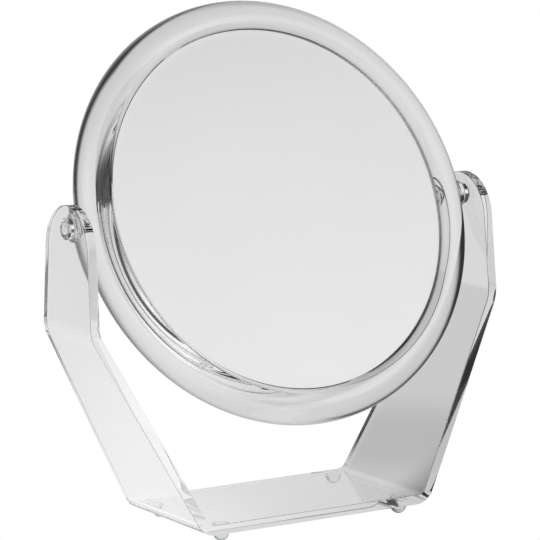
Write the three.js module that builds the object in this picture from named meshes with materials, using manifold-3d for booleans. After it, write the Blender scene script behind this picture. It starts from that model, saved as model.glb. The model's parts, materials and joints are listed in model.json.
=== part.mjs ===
// A countertop swivel mirror: a round two-sided mirror head in a thick clear ring frame, hung by two stub
// studs between the arms of a stand bent from one strip of clear acrylic sheet.
// Millimetres, +Z up, -Y to the user. The origin is on the table, under the middle of the stand.
import * as THREE from 'three';
import { mergeVertices } from 'three/addons/utils/BufferGeometryUtils.js';
import Module from 'manifold-3d';

const wasm = await Module();
wasm.setup();

// Clearances
const seatGap = 0.3; // between pieces that rest on or are cemented to each other
const holeClearance = 0.35; // round the stud in the arm's hole
const sideGap = 2.1; // from the frame's edge to the inner face of each arm

// Mirror head
const rimRadius = 100; // outer radius of the frame
const sectionRadius = 10.4; // of the frame's round section
const flatDepth = 4.4; // from the section's middle in to the flat that the glasses sit against
const faceOffset = 6.75; // from the middle plane to each glass face
const glassThickness = 2;
const curveRadius = 900; // of the magnifying glass's hollow face
const spacerWidth = 11;
const restTilt = 21.8; // degrees, the head's top leaning back

// Stub studs
const collarRadius = 6.4;
const collarReach = 1.3; // past the frame's edge
const journalRadius = 4.4;
const journalProud = 0.9; // past the arm's outer face
const studBoreRadius = 2.8;
const studBoreDepth = 5.2;

// Stand
const sheet = 4.6; // thickness of the strip
const baseLength = 119; // between the corners that the base bends round off
const baseDepth = 69;
const elbowDepth = 45.7; // strip width at the upper bends
const tipDepth = 40.2; // strip width under the rounded tips
const baseBendRadius = 9.9; // outside of the bend
const elbowBendRadius = 18;
const swingClearance = 33.1; // from the base up to the lowest reach of the frame
const elbowDrop = 46.3; // from the pivot axis down to the upper bends
const tipRise = 10.4; // from the pivot axis up to the tips
const armLean = 1; // degrees that the upper arms lean in

// Feet
const footHeight = 4;
const footRadius = 3.9;
const footContactRadius = 1.6;
const footInsetX = 12.1; // from the base's corners to the foot's middle
const footInsetY = 6.5; // from the base's edges to the foot's middle

// Places worked out from these
const pivotHeight = footHeight + sheet + swingClearance + rimRadius;
const sectionCentre = rimRadius - sectionRadius;
const windowRadius = sectionCentre - flatDepth;
const glassRadius = windowRadius - seatGap;
const lean = Math.tan(THREE.MathUtils.degToRad(armLean));
const armOuterX = rimRadius + sideGap + sheet; // at the height of the pivot axis
const elbowX = armOuterX + lean * elbowDrop;
const elbowZ = pivotHeight - elbowDrop;
const tipX = armOuterX - lean * tipRise;
const tipZ = pivotHeight + tipRise;

const clearAcrylic = () => new THREE.MeshStandardMaterial({
  color: 0xf1f4f5, roughness: 0.04, metalness: 0, transparent: true, opacity: 0.35,
});
const clearStyrene = () => new THREE.MeshStandardMaterial({
  color: 0xe6e8ea, roughness: 0.05, metalness: 0, transparent: true, opacity: 0.4,
});
const silveredGlass = () => new THREE.MeshStandardMaterial({ color: 0xdfe1e2, roughness: 0.02, metalness: 1 });
const greyFoam = () => new THREE.MeshStandardMaterial({ color: 0x8d9093, roughness: 0.95, metalness: 0 });
const clearRubber = () => new THREE.MeshStandardMaterial({
  color: 0xe4e6e6, roughness: 0.25, metalness: 0, transparent: true, opacity: 0.5,
});

function toSolid(geometry) {
  const plain = geometry.index ? geometry.toNonIndexed() : geometry.clone();
  plain.deleteAttribute('normal');
  plain.deleteAttribute('uv');
  const merged = mergeVertices(plain, 1e-4);
  return new wasm.Manifold(new wasm.Mesh({
    numProp: 3,
    vertProperties: new Float32Array(merged.attributes.position.array),
    triVerts: new Uint32Array(merged.index.array),
  }));
}

function toGeometry(solid) {
  const mesh = solid.getMesh();
  const geometry = new THREE.BufferGeometry();
  geometry.setAttribute('position', new THREE.BufferAttribute(mesh.vertProperties, 3));
  geometry.setIndex(new THREE.BufferAttribute(mesh.triVerts, 1));
  return geometry;
}

// Points along an arc, both ends included, as [across, along] pairs.
function arc(centre, radius, startDegrees, endDegrees, steps) {
  return Array.from({ length: steps + 1 }, (_, i) => {
    const angle = THREE.MathUtils.degToRad(startDegrees + ((endDegrees - startDegrees) * i) / steps);
    return [centre[0] + radius * Math.cos(angle), centre[1] + radius * Math.sin(angle)];
  });
}

// Turns a profile of [radius, along] points about the Y axis. The profile runs with the material on its
// left, and either closes on itself or starts and ends on the axis.
function turned(profile, segments) {
  const area = profile.reduce((sum, [r, y], i) => {
    const [nextR, nextY] = profile[(i + 1) % profile.length];
    return sum + r * nextY - nextR * y;
  }, 0);
  const ordered = area > 0 ? profile : [...profile].reverse();
  return new THREE.LatheGeometry(ordered.map(([r, y]) => new THREE.Vector2(r, y)), segments);
}

function closed(profile) {
  return [...profile, profile[0]];
}

// A path through corners, each rounded to its radius.
function roundedPath(corners, radii, steps) {
  return corners.flatMap((corner, i) => {
    if (!radii[i]) return [corner];
    const toLast = corners[i - 1].clone().sub(corner).normalize();
    const toNext = corners[i + 1].clone().sub(corner).normalize();
    const half = Math.acos(toLast.dot(toNext)) / 2;
    const centre = toLast.clone().add(toNext).normalize().multiplyScalar(radii[i] / Math.sin(half)).add(corner);
    const reach = radii[i] / Math.tan(half);
    const start = toLast.multiplyScalar(reach).add(corner).sub(centre).angle();
    const end = toNext.multiplyScalar(reach).add(corner).sub(centre).angle();
    const turn = ((end - start + 3 * Math.PI) % (2 * Math.PI)) - Math.PI;
    return Array.from({ length: steps + 1 }, (_, k) => {
      const angle = start + (turn * k) / steps;
      return new THREE.Vector2(Math.cos(angle), Math.sin(angle)).multiplyScalar(radii[i]).add(centre);
    });
  });
}

// The corners of the same path, moved to its left by the given distance.
function offsetCorners(corners, distance) {
  const leftOf = (from, to) => {
    const along = to.clone().sub(from).normalize();
    return new THREE.Vector2(-along.y, along.x);
  };
  return corners.map((corner, i) => {
    const before = i > 0 ? leftOf(corners[i - 1], corner) : leftOf(corner, corners[i + 1]);
    const after = i < corners.length - 1 ? leftOf(corner, corners[i + 1]) : before;
    const middle = before.clone().add(after).normalize();
    return middle.multiplyScalar(distance / middle.dot(before)).add(corner);
  });
}

// The strip's bent shape seen from the front, at its full depth all the way up.
function bentStrip() {
  const half = baseLength / 2;
  const overTip = 5; // the strip runs on past the tips, where the tip shape cuts it
  const corners = [
    new THREE.Vector2(-tipX + lean * overTip, tipZ + overTip),
    new THREE.Vector2(-elbowX, elbowZ),
    new THREE.Vector2(-half, footHeight),
    new THREE.Vector2(half, footHeight),
    new THREE.Vector2(elbowX, elbowZ),
    new THREE.Vector2(tipX - lean * overTip, tipZ + overTip),
  ];
  const outerRadii = [0, elbowBendRadius, baseBendRadius, baseBendRadius, elbowBendRadius, 0];
  const innerRadii = outerRadii.map((radius) => (radius ? radius - sheet : 0));
  const outer = roundedPath(corners, outerRadii, 7);
  const inner = roundedPath(offsetCorners(corners, sheet), innerRadii, 7);
  const shape = new THREE.Shape([...outer, ...inner.reverse()]);
  const strip = new THREE.ExtrudeGeometry(shape, { depth: baseDepth, bevelEnabled: false });
  return toSolid(strip.rotateX(Math.PI / 2).translate(0, baseDepth / 2, 0));
}

// The strip's outline seen from the side: full depth at the base, narrowing up to the rounded tips.
function sideOutline() {
  const tipRadius = tipDepth / 2;
  const baseTop = footHeight + sheet;
  const rightSide = [[baseDepth / 2, 0], [baseDepth / 2, baseTop], [elbowDepth / 2, elbowZ]];
  const leftSide = rightSide.map(([y, z]) => [-y, z]).reverse();
  const tip = arc([0, tipZ - tipRadius], tipRadius, 0, 180, 20);
  const points = [...rightSide, ...tip, ...leftSide].map(([y, z]) => new THREE.Vector2(y, z));
  const width = 2 * (elbowX + sheet);
  const block = new THREE.ExtrudeGeometry(new THREE.Shape(points), { depth: width, bevelEnabled: false });
  const sideways = new THREE.Matrix4().makeBasis(
    new THREE.Vector3(0, 1, 0), new THREE.Vector3(0, 0, 1), new THREE.Vector3(1, 0, 0),
  );
  return toSolid(block.applyMatrix4(sideways).translate(-width / 2, 0, 0));
}

function standGeometry() {
  const holeRadius = journalRadius + holeClearance;
  const drill = new THREE.CylinderGeometry(holeRadius, holeRadius, 2 * (elbowX + sheet), 48);
  const holes = toSolid(drill.rotateZ(Math.PI / 2).translate(0, 0, pivotHeight));
  return toGeometry(bentStrip().intersect(sideOutline()).subtract(holes));
}

// A low dome with a small flat to stand on.
function footGeometry() {
  const height = footHeight - seatGap;
  const flatAngle = Math.acos(footContactRadius / footRadius);
  const dome = arc([0, 0], 1, -THREE.MathUtils.radToDeg(flatAngle), 0, 7);
  const stretch = height / Math.sin(flatAngle);
  const profile = [[0, 0], ...dome.map(([r, z]) => [r * footRadius, height + z * stretch]), [0, height]];
  return turned(profile, 28).rotateX(Math.PI / 2);
}

// The solid frame ring: round outside and flat inside, with its inner edges rounded down to the glass
// faces.
function frameGeometry() {
  const edgeRadius = (sectionRadius ** 2 - flatDepth ** 2 - faceOffset ** 2) / (2 * (sectionRadius - flatDepth));
  const edgeTurn = THREE.MathUtils.radToDeg(Math.atan2(faceOffset, flatDepth - edgeRadius));
  const half = [
    ...arc([sectionCentre, 0], sectionRadius, 0, 180 - edgeTurn, 14),
    ...arc([windowRadius + edgeRadius, faceOffset], edgeRadius, 180 - edgeTurn, 180, 7).slice(1),
  ];
  const otherHalf = half.slice(1).reverse().map(([r, y]) => [r, -y]);
  return turned(closed([...half, ...otherHalf]), 96);
}

function plainGlassGeometry() {
  const back = faceOffset - glassThickness;
  return turned([[0, -faceOffset], [glassRadius, -faceOffset], [glassRadius, -back], [0, -back]], 72);
}

// How far the hollow face of the magnifying glass stands from the plane of its middle.
function curveRise(radius) {
  return curveRadius - Math.sqrt(curveRadius ** 2 - radius ** 2);
}

function magnifyingGlassGeometry() {
  const steps = 6;
  const middle = faceOffset - curveRise(glassRadius);
  const face = Array.from({ length: steps + 1 }, (_, i) => {
    const radius = (glassRadius * i) / steps;
    return [radius, middle + curveRise(radius)];
  });
  const back = face.map(([r, y]) => [r, y - glassThickness]).reverse();
  return turned([...face, ...back], 72);
}

// The foam ring that keeps the two glasses apart inside the frame.
function spacerGeometry() {
  const inner = glassRadius - spacerWidth;
  const front = -faceOffset + glassThickness + seatGap;
  const rear = faceOffset - curveRise(glassRadius) + curveRise(inner) - glassThickness - seatGap;
  return turned(closed([[inner, front], [glassRadius, front], [glassRadius, rear], [inner, rear]]), 72);
}

// A stub stud on the frame's edge: a collar fitted to the round edge, and a hollow-ended journal that
// turns in the arm's hole. It points along +Y before it is turned to its side.
function studSolid() {
  const end = armOuterX + journalProud;
  const shoulder = rimRadius + collarReach;
  const profile = [
    [0, sectionCentre], [collarRadius, sectionCentre], [collarRadius, shoulder], [journalRadius, shoulder],
    [journalRadius, end], [studBoreRadius, end], [studBoreRadius, end - studBoreDepth], [0, end - studBoreDepth],
  ];
  return toSolid(turned(profile, 40).rotateZ(-Math.PI / 2));
}

function frameEnvelope() {
  const section = arc([sectionCentre, 0], sectionRadius + seatGap, 0, 360, 32).slice(0, -1);
  return toSolid(turned(closed(section), 144));
}

function studGeometry(side) {
  const geometry = toGeometry(studSolid().subtract(frameEnvelope()));
  return side > 0 ? geometry : geometry.rotateZ(Math.PI);
}

function named(name, geometry, material) {
  const mesh = new THREE.Mesh(geometry, material);
  mesh.name = name;
  return mesh;
}

function makeStand() {
  const stand = new THREE.Group();
  stand.add(named('stand', standGeometry(), clearAcrylic()));
  for (const [front, y] of [['front', -1], ['rear', 1]]) {
    for (const [hand, x] of [['left', -1], ['right', 1]]) {
      const foot = named(`foot_${front}_${hand}`, footGeometry(), clearRubber());
      foot.position.set(x * (baseLength / 2 - footInsetX), y * (baseDepth / 2 - footInsetY), 0);
      stand.add(foot);
    }
  }
  return stand;
}

function makeHead() {
  const head = new THREE.Group();
  head.add(named('ring_frame', frameGeometry(), clearStyrene()));
  head.add(named('plain_mirror_glass', plainGlassGeometry(), silveredGlass()));
  head.add(named('magnifying_mirror_glass', magnifyingGlassGeometry(), silveredGlass()));
  head.add(named('glass_spacer_ring', spacerGeometry(), greyFoam()));
  head.add(named('pivot_stud_left', studGeometry(-1), clearStyrene()));
  head.add(named('pivot_stud_right', studGeometry(1), clearStyrene()));
  head.rotation.x = -THREE.MathUtils.degToRad(restTilt);
  head.position.z = pivotHeight;
  return head;
}

const mirror = new THREE.Group();
mirror.add(makeStand(), makeHead());

export default mirror;
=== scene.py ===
import json
import math

import bmesh
import bpy
from mathutils import Matrix, Vector


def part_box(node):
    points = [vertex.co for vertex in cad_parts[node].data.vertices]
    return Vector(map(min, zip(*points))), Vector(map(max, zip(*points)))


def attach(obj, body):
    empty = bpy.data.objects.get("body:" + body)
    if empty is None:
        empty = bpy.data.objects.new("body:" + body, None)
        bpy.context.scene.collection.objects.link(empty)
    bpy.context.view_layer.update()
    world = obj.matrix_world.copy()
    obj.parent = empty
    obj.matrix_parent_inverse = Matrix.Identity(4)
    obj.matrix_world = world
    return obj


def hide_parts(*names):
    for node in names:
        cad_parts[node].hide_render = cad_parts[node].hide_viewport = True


# A clear countertop swivel mirror: bent acrylic stand, thick clear ring frame, two mirror glasses.
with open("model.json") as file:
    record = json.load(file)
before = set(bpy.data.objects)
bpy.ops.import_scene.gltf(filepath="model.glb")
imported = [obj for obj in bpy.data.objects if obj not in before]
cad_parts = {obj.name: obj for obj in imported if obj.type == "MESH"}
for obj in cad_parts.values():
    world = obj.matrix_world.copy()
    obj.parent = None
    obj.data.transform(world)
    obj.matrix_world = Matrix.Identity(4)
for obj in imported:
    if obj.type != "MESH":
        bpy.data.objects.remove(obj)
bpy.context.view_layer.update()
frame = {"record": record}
mm = 0.001
hinge = next(j for j in frame["record"]["behaviour"]["joints"] if j["name"] == "head_swivel")
pivotHeight = hinge["pos_m"][2] / mm
standLow, standHigh = [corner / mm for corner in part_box("stand")]
headTilt = math.radians(21.8)  # the head's top leans back
intoHead = Matrix.Translation((0, 0, pivotHeight)) @ Matrix.Rotation(-headTilt, 4, "X")
print("frame loaded")


# Shaping with bmesh, in millimetres until a piece is finished

def penAt(bm, across, along):
    return bm.verts.new((across, along, 0))


def lineTo(bm, pen, across, along):
    tip = bmesh.ops.extrude_vert_indiv(bm, verts=[pen])["verts"][0]
    tip.co = (across, along, 0)
    return tip


def arcTo(bm, pen, centre, degrees, steps):
    made = bmesh.ops.spin(
        bm, geom=[pen], cent=(*centre, 0), axis=(0, 0, 1), dvec=(0, 0, 0),
        angle=math.radians(degrees), steps=steps, use_duplicate=False)
    return next(v for v in made["geom_last"] if isinstance(v, bmesh.types.BMVert))


def joinEnds(bm, first, last):
    if (first.co - last.co).length > 1e-4:
        bm.edges.new((first, last))
    bmesh.ops.remove_doubles(bm, verts=bm.verts[:], dist=1e-4)


def roundCorners(bm, radius, sharper=35, segments=3):
    # Rounds the corners of a flat outline before it is turned.
    corners = []
    for v in bm.verts:
        if len(v.link_edges) == 2:
            a, b = [e.other_vert(v).co - v.co for e in v.link_edges]
            if math.degrees(math.pi - a.angle(b)) > sharper:
                corners.append(v)
    bmesh.ops.bevel(bm, geom=corners, offset=radius, offset_type="OFFSET", segments=segments,
                    profile=0.5, affect="VERTICES", clamp_overlap=True, material=-1)


def turnOutline(bm, axis, steps):
    bmesh.ops.spin(bm, geom=bm.verts[:] + bm.edges[:], cent=(0, 0, 0), axis=axis, dvec=(0, 0, 0),
                   angle=math.tau, steps=steps, use_merge=True, use_duplicate=False)
    bmesh.ops.remove_doubles(bm, verts=bm.verts[:], dist=1e-4)
    bmesh.ops.recalc_face_normals(bm, faces=bm.faces[:])


def finishPiece(bm, name, place, materials, body, nodes):
    bmesh.ops.transform(bm, matrix=Matrix.Scale(mm, 4) @ place, verts=bm.verts[:])
    bmesh.ops.recalc_face_normals(bm, faces=bm.faces[:])
    for face in bm.faces:
        face.smooth = True
    mesh = bpy.data.meshes.new(name)
    bm.to_mesh(mesh)
    bm.free()
    for material in materials:
        mesh.materials.append(material)
    piece = bpy.data.objects.new(name, mesh)
    bpy.context.scene.collection.objects.link(piece)
    steady = piece.modifiers.new("flat faces stay flat", "WEIGHTED_NORMAL")
    steady.keep_sharp = True
    steady.weight = 80  # large faces count for more than their rounded edges
    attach(piece, body)
    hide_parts(*nodes)
    print("made", name, len(mesh.polygons))
    return piece


# Materials

def hexColour(code):
    parts = [int(code[i:i + 2], 16) / 255 for i in (0, 2, 4)]
    return (*[c / 12.92 if c <= 0.04045 else ((c + 0.055) / 1.055) ** 2.4 for c in parts], 1)


def addNode(tree, kind, settings=None, links=None):
    node = tree.nodes.new(kind)
    for key, value in (settings or {}).items():
        if isinstance(key, int) or key in node.inputs:
            node.inputs[key].default_value = value
        else:
            setattr(node, key, value)
    for key, source in (links or {}).items():
        tree.links.new(source, node.inputs[key])
    return node


def newMaterial(name):
    material = bpy.data.materials.new(name)
    material.use_nodes = True
    material.node_tree.nodes.clear()
    return material, material.node_tree


def clearPlastic(name, look):
    # Clear moulded or cast plastic: sharp refraction, faint handling haze, and slow waves in the surface.
    material, tree = newMaterial(name)
    spot = addNode(tree, "ShaderNodeTexCoord").outputs["Object"]
    haze = addNode(tree, "ShaderNodeTexNoise", {"Scale": 1 / (look["hazeSize"] * mm), "Detail": 3},
                   {"Vector": spot})
    rough = addNode(tree, "ShaderNodeMapRange", {
        "From Min": 0.45, "From Max": 0.8, "To Min": look["roughness"], "To Max": look["hazeRoughness"],
    }, {"Value": haze.outputs["Fac"]})
    tint = addNode(tree, "ShaderNodeMix", {"data_type": "RGBA", 6: hexColour(look["tint"]),
                                           7: hexColour(look["hazeTint"])}, {0: haze.outputs["Fac"]})
    waves = addNode(tree, "ShaderNodeTexNoise", {"Scale": 1 / (look["waveSize"] * mm), "Detail": 1},
                    {"Vector": spot})
    bump = addNode(tree, "ShaderNodeBump", {
        "Strength": look["waveStrength"], "Distance": look["waveHeight"] * mm,
    }, {"Height": waves.outputs["Fac"]})
    body = addNode(tree, "ShaderNodeBsdfPrincipled", {"IOR": look["ior"], "Transmission Weight": 1.0},
                   {"Base Color": tint.outputs[2], "Roughness": rough.outputs["Result"],
                    "Normal": bump.outputs["Normal"]})
    addNode(tree, "ShaderNodeOutputMaterial", {}, {"Surface": body.outputs["BSDF"]})
    return material


# Cast PMMA sheet, bent hot, edges flame polished: the clearest plastic, with no colour of its own.
acrylicLook = {
    "ior": 1.49, "tint": "FAFAFA", "hazeTint": "F6F6F6", "roughness": 0.0, "hazeRoughness": 0.02,
    "hazeSize": 18, "waveSize": 40, "waveStrength": 0.05, "waveHeight": 0.1,
}
castAcrylic = clearPlastic("cast_acrylic_polished", acrylicLook)

# Injection-moulded polystyrene: a stronger bend of light than acrylic, with soft flow waves.
styreneLook = {
    "ior": 1.59, "tint": "FBFBFB", "hazeTint": "F8F8F8", "roughness": 0.0, "hazeRoughness": 0.01,
    "hazeSize": 14, "waveSize": 30, "waveStrength": 0.03, "waveHeight": 0.1,
}
mouldedStyrene = clearPlastic("moulded_clear_styrene", styreneLook)

# Soft polyurethane bumper dome: clear but a little milky, with a dull skin.
rubberLook = {
    "ior": 1.48, "tint": "F2F4F4", "hazeTint": "E6E9E9", "roughness": 0.04, "hazeRoughness": 0.12,
    "hazeSize": 3, "waveSize": 4, "waveStrength": 0.1, "waveHeight": 0.1,
}
clearBumper = clearPlastic("clear_polyurethane_bumper", rubberLook)

# Float glass in front of the silver.
glassLook = {
    "ior": 1.52, "tint": "FAFAFA", "hazeTint": "F8F8F8", "roughness": 0.0, "hazeRoughness": 0.01,
    "hazeSize": 40, "waveSize": 90, "waveStrength": 0.02, "waveHeight": 0.05,
}
floatGlass = clearPlastic("float_glass_face", glassLook)

# Ground glass edge: fine grit marks, grey and dull.
edgeLook = {
    "ior": 1.52, "tint": "C9CFCC", "hazeTint": "A9B0AD", "roughness": 0.35, "hazeRoughness": 0.5,
    "hazeSize": 1.2, "waveSize": 0.6, "waveStrength": 0.4, "waveHeight": 0.05,
}
groundEdge = clearPlastic("ground_glass_edge", edgeLook)

# Silver coat behind the glass: a bright neutral mirror with very faint unevenness in its tone.
silverLook = {"bright": "F3F3F3", "dull": "EFEFEF", "patchSize": 60, "roughness": 0.0}
silverCoat, tree = newMaterial("silver_coat")
spot = addNode(tree, "ShaderNodeTexCoord").outputs["Object"]
patches = addNode(tree, "ShaderNodeTexNoise", {"Scale": 1 / (silverLook["patchSize"] * mm)},
                  {"Vector": spot})
tone = addNode(tree, "ShaderNodeMix", {
    "data_type": "RGBA", 6: hexColour(silverLook["bright"]), 7: hexColour(silverLook["dull"]),
}, {0: patches.outputs["Fac"]})
silver = addNode(tree, "ShaderNodeBsdfPrincipled", {"Metallic": 1.0, "Roughness": silverLook["roughness"]},
                 {"Base Color": tone.outputs[2]})
addNode(tree, "ShaderNodeOutputMaterial", {}, {"Surface": silver.outputs["BSDF"]})

# Closed-cell polyethylene foam: dull, pale grey, with small cells whose hollows are painted darker, a
# painted shade.
foamLook = {
    "pale": "C4C6C8", "dark": "8F9295", "cellSize": 0.9, "cellDepth": 0.12, "cellStrength": 0.6,
    "roughness": 0.9, "ior": 1.5,
}
peFoam, tree = newMaterial("closed_cell_foam")
spot = addNode(tree, "ShaderNodeTexCoord").outputs["Object"]
cells = addNode(tree, "ShaderNodeTexVoronoi", {"Scale": 1 / (foamLook["cellSize"] * mm)}, {"Vector": spot})
# Painted shade: the tone is darker at the cell centres, where the bump sinks, and paler on the cell walls.
tone = addNode(tree, "ShaderNodeMix", {
    "data_type": "RGBA", 6: hexColour(foamLook["dark"]), 7: hexColour(foamLook["pale"]),
}, {0: cells.outputs["Distance"]})
bump = addNode(tree, "ShaderNodeBump", {
    "Strength": foamLook["cellStrength"], "Distance": foamLook["cellDepth"] * mm,
},
               {"Height": cells.outputs["Distance"]})
foam = addNode(tree, "ShaderNodeBsdfPrincipled", {
    "Roughness": foamLook["roughness"], "IOR": foamLook["ior"],
},
               {"Base Color": tone.outputs[2], "Normal": bump.outputs["Normal"]})
addNode(tree, "ShaderNodeOutputMaterial", {}, {"Surface": foam.outputs["BSDF"]})
print("materials ready")

# Stand: a flat blank, drilled and edge-rounded, then bent at four lines

stand = {
    "sheet": 4.6, "baseCorner": 59.5, "baseDepth": 69.0, "elbowDepth": 45.7, "tipDepth": 40.2,
    "baseBend": 9.9, "elbowBend": 18.0, "elbowDrop": 46.3, "armLean": 1.0, "armOuter": 106.7,
    "hole": 4.75, "edgeRound": 0.35, "holeRound": 0.3, "roundSteps": 4,
    "tipSteps": 48, "holeSteps": 48, "bendSteps": 18,
}


def bendSheet(bm, side, start, radius, angle):
    # Heat-bends what lies past a line across the strip upward, about a centre above its underside.
    for v in bm.verts:
        past = side * v.co.x - start
        if past > 0:
            turn = min(past / radius, angle)
            dx, dz = past - radius * turn, v.co.z - radius
            v.co.x = side * (start + dx * math.cos(turn) - dz * math.sin(turn))
            v.co.z = radius + dx * math.sin(turn) + dz * math.cos(turn)


def makeStand():
    s = stand
    lean = math.tan(math.radians(s["armLean"]))
    footGap = standLow[2]
    elbowX, elbowZ = s["armOuter"] + lean * s["elbowDrop"], pivotHeight - s["elbowDrop"]
    rise = Vector((elbowX - s["baseCorner"], elbowZ - footGap))
    baseAngle = math.atan2(rise.y, rise.x)
    elbowAngle = math.radians(90 + s["armLean"]) - baseAngle
    baseReach = s["baseBend"] * math.tan(baseAngle / 2)
    elbowReach = s["elbowBend"] * math.tan(elbowAngle / 2)
    # Places along the blank, measured from its middle on the underside
    baseStart = s["baseCorner"] - baseReach
    elbowStart = baseStart + s["baseBend"] * baseAngle + rise.length - baseReach - elbowReach
    upperStart = elbowStart + s["elbowBend"] * elbowAngle
    tip = upperStart + (standHigh[2] - elbowZ) / math.cos(math.radians(s["armLean"])) - elbowReach
    tipRadius = s["tipDepth"] / 2
    taperStart = baseStart + s["baseBend"] * math.acos(1 - s["sheet"] / s["baseBend"])
    elbowMiddle = (elbowStart + upperStart) / 2
    hole = tip - (standHigh[2] - pivotHeight)

    bm = bmesh.new()
    first = pen = penAt(bm, -taperStart, -s["baseDepth"] / 2)
    pen = lineTo(bm, pen, taperStart, -s["baseDepth"] / 2)
    pen = lineTo(bm, pen, elbowMiddle, -s["elbowDepth"] / 2)
    pen = lineTo(bm, pen, tip - tipRadius, -tipRadius)
    pen = arcTo(bm, pen, (tip - tipRadius, 0), 180, s["tipSteps"])
    pen = lineTo(bm, pen, elbowMiddle, s["elbowDepth"] / 2)
    pen = lineTo(bm, pen, taperStart, s["baseDepth"] / 2)
    pen = lineTo(bm, pen, -taperStart, s["baseDepth"] / 2)
    pen = lineTo(bm, pen, -elbowMiddle, s["elbowDepth"] / 2)
    pen = lineTo(bm, pen, -tip + tipRadius, tipRadius)
    pen = arcTo(bm, pen, (-tip + tipRadius, 0), 180, s["tipSteps"])
    pen = lineTo(bm, pen, -elbowMiddle, -s["elbowDepth"] / 2)
    joinEnds(bm, first, pen)
    for side in (-1, 1):
        bmesh.ops.create_circle(bm, cap_ends=False, radius=s["hole"], segments=s["holeSteps"],
                                matrix=Matrix.Translation((side * hole, 0, 0)))
    bmesh.ops.triangle_fill(bm, use_beauty=True, use_dissolve=False, edges=bm.edges[:], normal=(0, 0, 1))
    raised = bmesh.ops.extrude_face_region(bm, geom=bm.faces[:], use_keep_orig=True)["geom"]
    topVerts = [g for g in raised if isinstance(g, bmesh.types.BMVert)]
    bmesh.ops.translate(bm, vec=(0, 0, s["sheet"]), verts=topVerts)
    bmesh.ops.recalc_face_normals(bm, faces=bm.faces[:])
    squarer = math.radians(60)  # the sheet's square edges, and not the facets of its arcs
    rims = [e for e in bm.edges if e.calc_face_angle(0) > squarer]
    holeReach = s["hole"] + 0.5
    holeRims, outerRims = [], []
    for e in rims:
        byHole = all(Vector((abs(v.co.x) - hole, v.co.y)).length < holeReach for v in e.verts)
        (holeRims if byHole else outerRims).append(e)
    for edges, size in ((holeRims, s["holeRound"]), (outerRims, s["edgeRound"])):
        bmesh.ops.bevel(bm, geom=edges, offset=size, offset_type="OFFSET", segments=s["roundSteps"],
                        profile=0.5, affect="EDGES", clamp_overlap=False, loop_slide=False, material=-1)
    bends = ((baseStart, s["baseBend"], baseAngle), (elbowStart, s["elbowBend"], elbowAngle))
    for side in (-1, 1):
        for start, radius, angle in bends:
            for i in range(s["bendSteps"] + 1):
                at = side * (start + radius * angle * i / s["bendSteps"])
                bmesh.ops.bisect_plane(bm, geom=bm.verts[:] + bm.edges[:] + bm.faces[:], dist=1e-5,
                                       plane_co=(at, 0, 0), plane_no=(1, 0, 0))
        bendSheet(bm, side, elbowStart, s["elbowBend"], elbowAngle)
        bendSheet(bm, side, baseStart, s["baseBend"], baseAngle)
    return finishPiece(bm, "bent_acrylic_stand", Matrix.Translation((0, 0, footGap)), [castAcrylic],
                       "stand_assembly", ["stand"])


makeStand()

# Feet

foot = {"radius": 3.9, "contact": 1.6, "edgeRound": 0.25, "steps": 48, "domeSteps": 14, "touch": 0.03}


def makeFoot(node):
    low, high = [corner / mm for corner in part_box(node)]
    top = standLow[2] - foot["touch"]
    flat = math.acos(foot["contact"] / foot["radius"])
    bm = bmesh.new()
    pen = penAt(bm, 0, -math.sin(flat) * foot["radius"])
    pen = lineTo(bm, pen, foot["contact"], -math.sin(flat) * foot["radius"])
    pen = arcTo(bm, pen, (0, 0), math.degrees(flat), foot["domeSteps"])
    lineTo(bm, pen, 0, 0)
    roundCorners(bm, foot["edgeRound"])
    turnOutline(bm, (0, 1, 0), foot["steps"])
    stretch = top / (math.sin(flat) * foot["radius"])
    middle = (low + high) / 2
    place = (Matrix.Translation((middle.x, middle.y, top)) @ Matrix.Diagonal((1, 1, stretch, 1))
             @ Matrix.Rotation(math.pi / 2, 4, "X"))
    finishPiece(bm, node.replace("foot", "bumper"), place, [clearBumper],
                "stand_assembly", [node])


for node in ("foot_front_left", "foot_front_right", "foot_rear_left", "foot_rear_right"):
    makeFoot(node)

# Ring frame: one solid clear ring, round outside and flat where the glasses sit

ring = {
    "rim": 100.0, "tube": 10.4, "window": 85.2, "face": 6.75,
    "steps": 480, "roundSteps": 32, "edgeSteps": 16,
}


def makeRing():
    r = ring
    centre = r["rim"] - r["tube"]
    flat = centre - r["window"]  # from the section's middle to the flat
    # The inner edge's rounding touches the round side and ends on the flat at the glass face
    rounding = (r["tube"] ** 2 - flat ** 2 - r["face"] ** 2) / (2 * (r["tube"] - flat))
    turn = math.degrees(math.atan2(r["face"], flat - rounding))
    bm = bmesh.new()
    first = pen = penAt(bm, r["rim"], 0)
    pen = arcTo(bm, pen, (centre, 0), 180 - turn, r["roundSteps"])
    pen = arcTo(bm, pen, (r["window"] + rounding, r["face"]), turn, r["edgeSteps"])
    pen = lineTo(bm, pen, r["window"], -r["face"])
    pen = arcTo(bm, pen, (r["window"] + rounding, -r["face"]), turn, r["edgeSteps"])
    pen = arcTo(bm, pen, (centre, 0), 180 - turn, r["roundSteps"])
    joinEnds(bm, first, pen)
    turnOutline(bm, (0, 1, 0), r["steps"])
    finishPiece(bm, "solid_clear_ring", intoHead, [mouldedStyrene],
                "mirror_head", ["ring_frame"])


makeRing()

# Mirror glasses: clear glass in front, silver on the back face, ground edge

glass = {
    "radius": 84.9, "face": 6.75, "thick": 2.0, "curve": 900.0, "edgeRound": 0.2,
    "steps": 288, "rings": 24,
}


def faceRise(radius, hollow):
    # How far the hollow face stands from the plane of its middle; a plain face doesn't
    return glass["curve"] - math.sqrt(glass["curve"] ** 2 - radius ** 2) if hollow else 0


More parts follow.
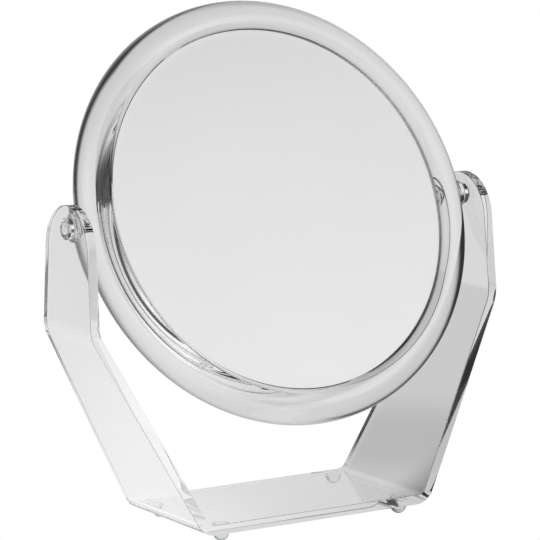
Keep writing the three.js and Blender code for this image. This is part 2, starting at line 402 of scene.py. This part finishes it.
def makeGlass(node, name, side, hollow):
    g = glass
    middle = g["face"] - faceRise(g["radius"], hollow)
    bm = bmesh.new()
    pen = penAt(bm, 0, middle)
    for i in range(1, g["rings"] + 1):
        radius = g["radius"] * i / g["rings"]
        pen = lineTo(bm, pen, radius, middle + faceRise(radius, hollow))
    pen = lineTo(bm, pen, g["radius"], middle + faceRise(g["radius"], hollow) - g["thick"])
    for i in range(g["rings"] - 1, -1, -1):
        radius = g["radius"] * i / g["rings"]
        pen = lineTo(bm, pen, radius, middle + faceRise(radius, hollow) - g["thick"])
    roundCorners(bm, g["edgeRound"])
    turnOutline(bm, (0, 1, 0), g["steps"])
    for face in bm.faces:
        centre = face.calc_center_median()
        radius = Vector((centre.x, centre.z)).length
        depth = centre.y - middle - faceRise(min(radius, g["radius"]), hollow)
        if radius > g["radius"] - g["edgeRound"]:
            face.material_index = 2
        else:
            face.material_index = 1 if depth < -g["thick"] / 2 else 0
    finishPiece(bm, name, intoHead @ Matrix.Diagonal((1, side, 1, 1)), [floatGlass, silverCoat, groundEdge],
                "mirror_head", [node])


makeGlass("plain_mirror_glass", "plain_mirror", -1, False)
makeGlass("magnifying_mirror_glass", "magnifying_mirror", 1, True)

# Foam ring between the glasses

spacer = {
    "outer": 84.9, "width": 11.0, "front": -4.6, "rear": 3.15, "rearRise": 1.2,
    "edgeRound": 0.6, "steps": 200,
}


def makeSpacer():
    s = spacer
    inner = s["outer"] - s["width"]
    bm = bmesh.new()
    first = pen = penAt(bm, inner, s["front"])
    pen = lineTo(bm, pen, s["outer"], s["front"])
    pen = lineTo(bm, pen, s["outer"], s["rear"] + s["rearRise"])
    pen = lineTo(bm, pen, inner, s["rear"])
    joinEnds(bm, first, pen)
    roundCorners(bm, s["edgeRound"])
    turnOutline(bm, (0, 1, 0), s["steps"])
    finishPiece(bm, "foam_spacer_ring", intoHead, [peFoam],
                "mirror_head", ["glass_spacer_ring"])


makeSpacer()

# Stub studs

stud = {
    "collar": 6.4, "collarReach": 101.3, "journal": 4.4, "end": 107.6, "bore": 2.8, "boreDepth": 5.2,
    "rootDepth": 4, "touch": 0.03, "round": 0.4, "roundSteps": 4, "steps": 64, "rings": 10,
}


def makeStud(node, side):
    s = stud
    bm = bmesh.new()
    root = ring["rim"] - s["rootDepth"]
    pen = penAt(bm, 0, root)
    for i in range(1, s["rings"] + 1):
        pen = lineTo(bm, pen, s["collar"] * i / s["rings"], root)
    pen = lineTo(bm, pen, s["collar"], s["collarReach"])
    pen = lineTo(bm, pen, s["journal"], s["collarReach"])
    pen = lineTo(bm, pen, s["journal"], s["end"])
    pen = lineTo(bm, pen, s["bore"], s["end"])
    pen = lineTo(bm, pen, s["bore"], s["end"] - s["boreDepth"])
    lineTo(bm, pen, 0, s["end"] - s["boreDepth"])
    turned = [v for v in bm.verts if v.co.y > root + 0.1 and v.co.x > 0.1]
    bmesh.ops.bevel(bm, geom=turned, offset=s["round"], offset_type="OFFSET", segments=s["roundSteps"],
                    profile=0.5, affect="VERTICES", clamp_overlap=True, material=-1)
    turnOutline(bm, (0, 1, 0), s["steps"])
    bmesh.ops.transform(bm, matrix=Matrix.Rotation(-math.pi / 2, 4, "Z"), verts=bm.verts[:])
    # The root follows the frame's round edge
    tubeMiddle, reach = ring["rim"] - ring["tube"], ring["tube"] + s["touch"]
    for v in bm.verts:
        if v.co.x < root + 0.05:
            around = tubeMiddle + math.sqrt(reach ** 2 - v.co.y ** 2)
            v.co.x = math.sqrt(around ** 2 - v.co.z ** 2)
    finishPiece(bm, node.replace("pivot", "clear_pivot"), intoHead @ Matrix.Diagonal((side, 1, 1, 1)),
                [mouldedStyrene], "mirror_head", [node])


makeStud("pivot_stud_left", -1)
makeStud("pivot_stud_right", 1)

# Camera

shot = {
    "azimuth": -31.03, "elevation": 8.46, "roll": 0.84, "distance": 1.3488,
    "target": (-0.0030, 0.0, 0.11434), "lens": 197.18, "sensor": 36, "clip": (0.05, 60),
}
around, up = math.radians(shot["azimuth"]), math.radians(shot["elevation"])
back = Vector((math.sin(around) * math.cos(up), -math.cos(around) * math.cos(up), math.sin(up)))
camera = bpy.data.objects.new("camera", bpy.data.cameras.new("camera"))
bpy.context.scene.collection.objects.link(camera)
camera.data.sensor_width = shot["sensor"]
camera.data.lens = shot["lens"]
camera.data.clip_start, camera.data.clip_end = shot["clip"]
camera.rotation_mode = "QUATERNION"
camera.location = Vector(shot["target"]) + back * shot["distance"]
camera.rotation_quaternion = (back.to_track_quat("Z", "Y")
                              @ Matrix.Rotation(math.radians(-shot["roll"]), 4, "Z").to_quaternion())
bpy.context.scene.camera = camera

# Studio: a pale sweep in a dim room with soft lights

# Each light: azimuth from +Y towards +X, elevation, full and fading half-angles, brightness
room = {
    "dark": 0.03,
    "lights": [
        (24, 13, 20, 38, 0.68),  # pale backdrop behind the sweep
        (148, 18, 4, 30, 0.95),  # soft box that the front glass reflects
        (-95, 22, 10, 32, 1.10),  # window on the left
        (195, 20, 15, 40, 0.70),  # fill from beside the camera
    ],
}


def aimAt(azimuth, elevation):
    a, e = math.radians(azimuth), math.radians(elevation)
    return (math.sin(a) * math.cos(e), math.cos(a) * math.cos(e), math.sin(e))


def layTones(tree, base, patches):
    # Adds soft-edged patches to a base: a value, where its fade starts and ends, and the tones there
    total = None
    for value, start, end, atStart, atEnd in patches:
        patch = addNode(tree, "ShaderNodeMapRange", {
            "interpolation_type": "SMOOTHSTEP", "From Min": start, "From Max": end,
            "To Min": atStart, "To Max": atEnd,
        }, {"Value": value})
        links = {0: patch.outputs["Result"]}
        if total is not None:
            links[1] = total
        total = addNode(tree, "ShaderNodeMath", {"operation": "ADD", 1: base}, links).outputs[0]
    return total


def whiteToEye(tree, tone):
    # The bare background is overexposed to white; the plastic and the glass show the tones it has.
    seen = addNode(tree, "ShaderNodeLightPath").outputs["Is Camera Ray"]
    return addNode(tree, "ShaderNodeMix", {"data_type": "FLOAT", 3: 1.0}, {0: seen, 2: tone}).outputs[0]


world = bpy.data.worlds.new("studio")
bpy.context.scene.world = world
world.use_nodes = True
tree = world.node_tree
tree.nodes.clear()
toward = addNode(tree, "ShaderNodeTexCoord").outputs["Generated"]
patches = []
for azimuth, elevation, full, fade, amount in room["lights"]:
    near = addNode(tree, "ShaderNodeVectorMath", {"operation": "DOT_PRODUCT", 1: aimAt(azimuth, elevation)},
                   {0: toward}).outputs["Value"]
    patches.append((near, math.cos(math.radians(fade)), math.cos(math.radians(full)), 0, amount))
lit = layTones(tree, room["dark"], patches)
glow = addNode(tree, "ShaderNodeBackground", {"Color": (1, 1, 1, 1)}, {"Strength": whiteToEye(tree, lit)})
addNode(tree, "ShaderNodeOutputWorld", {}, {"Surface": glow.outputs["Background"]})

# Pale sweep that glows with painted light, as if lit from the left: painted darker towards the right, and
# far out on both sides.
sweepLook = {
    "radius": 7, "steps": 96, "rightward": 121, "near": 0.1,
    "left": 0.84, "right": 0.695, "gradient": (-0.4, 0.35),
    "darkRight": (0.30, 0.46, -0.64), "darkLeft": (-0.7, -0.95, -0.6),
    "paintedPools": [
        ((-0.15, 0.02, 0), 0.16, 0.04, 0.32),  # painted pool of window light under the left of the stand
        ((0.14, 0.11, 0), 0.13, 0.03, -0.12),  # painted soft shadow of the head
    ],
}
sweep, tree = newMaterial("white_sweep")
look = sweepLook
spot = addNode(tree, "ShaderNodeTexCoord").outputs["Object"]
reach = addNode(tree, "ShaderNodeVectorMath", {"operation": "LENGTH"}, {0: spot}).outputs["Value"]
reach = addNode(tree, "ShaderNodeMath", {"operation": "ADD", 1: look["near"]}, {0: reach}).outputs[0]
across = addNode(tree, "ShaderNodeVectorMath", {"operation": "DOT_PRODUCT", 1: aimAt(look["rightward"], 0)},
                 {0: spot}).outputs["Value"]
side = addNode(tree, "ShaderNodeMath", {"operation": "DIVIDE"}, {0: across, 1: reach}).outputs[0]
patches = [
    (side, *look["gradient"], look["left"], look["right"]),
    (side, *look["darkRight"][:2], 0, look["darkRight"][2]),
    (side, *look["darkLeft"][:2], 0, look["darkLeft"][2]),
]
for middle, outer, inner, amount in look["paintedPools"]:
    away = addNode(tree, "ShaderNodeVectorMath", {"operation": "DISTANCE", 1: middle}, {0: spot})
    patches.append((away.outputs["Value"], outer, inner, 0, amount))
# The glow's strength carries the painted light and painted shadow listed above.
tone = whiteToEye(tree, layTones(tree, 0, patches))
glow = addNode(tree, "ShaderNodeEmission", {"Color": (1, 1, 1, 1)}, {"Strength": tone})
addNode(tree, "ShaderNodeOutputMaterial", {}, {"Surface": glow.outputs["Emission"]})
bm = bmesh.new()
bmesh.ops.create_circle(bm, cap_ends=True, radius=look["radius"], segments=look["steps"])
mesh = bpy.data.meshes.new("floor")
bm.to_mesh(mesh)
bm.free()
mesh.materials.append(sweep)
floor = bpy.data.objects.new("floor", mesh)
bpy.context.scene.collection.objects.link(floor)

scene = bpy.context.scene
scene.view_settings.view_transform = "Standard"
scene.cycles.max_bounces = 32
scene.cycles.transmission_bounces = 28
scene.cycles.glossy_bounces = 12
scene.cycles.diffuse_bounces = 3
scene.cycles.transparent_max_bounces = 12
print("studio ready")
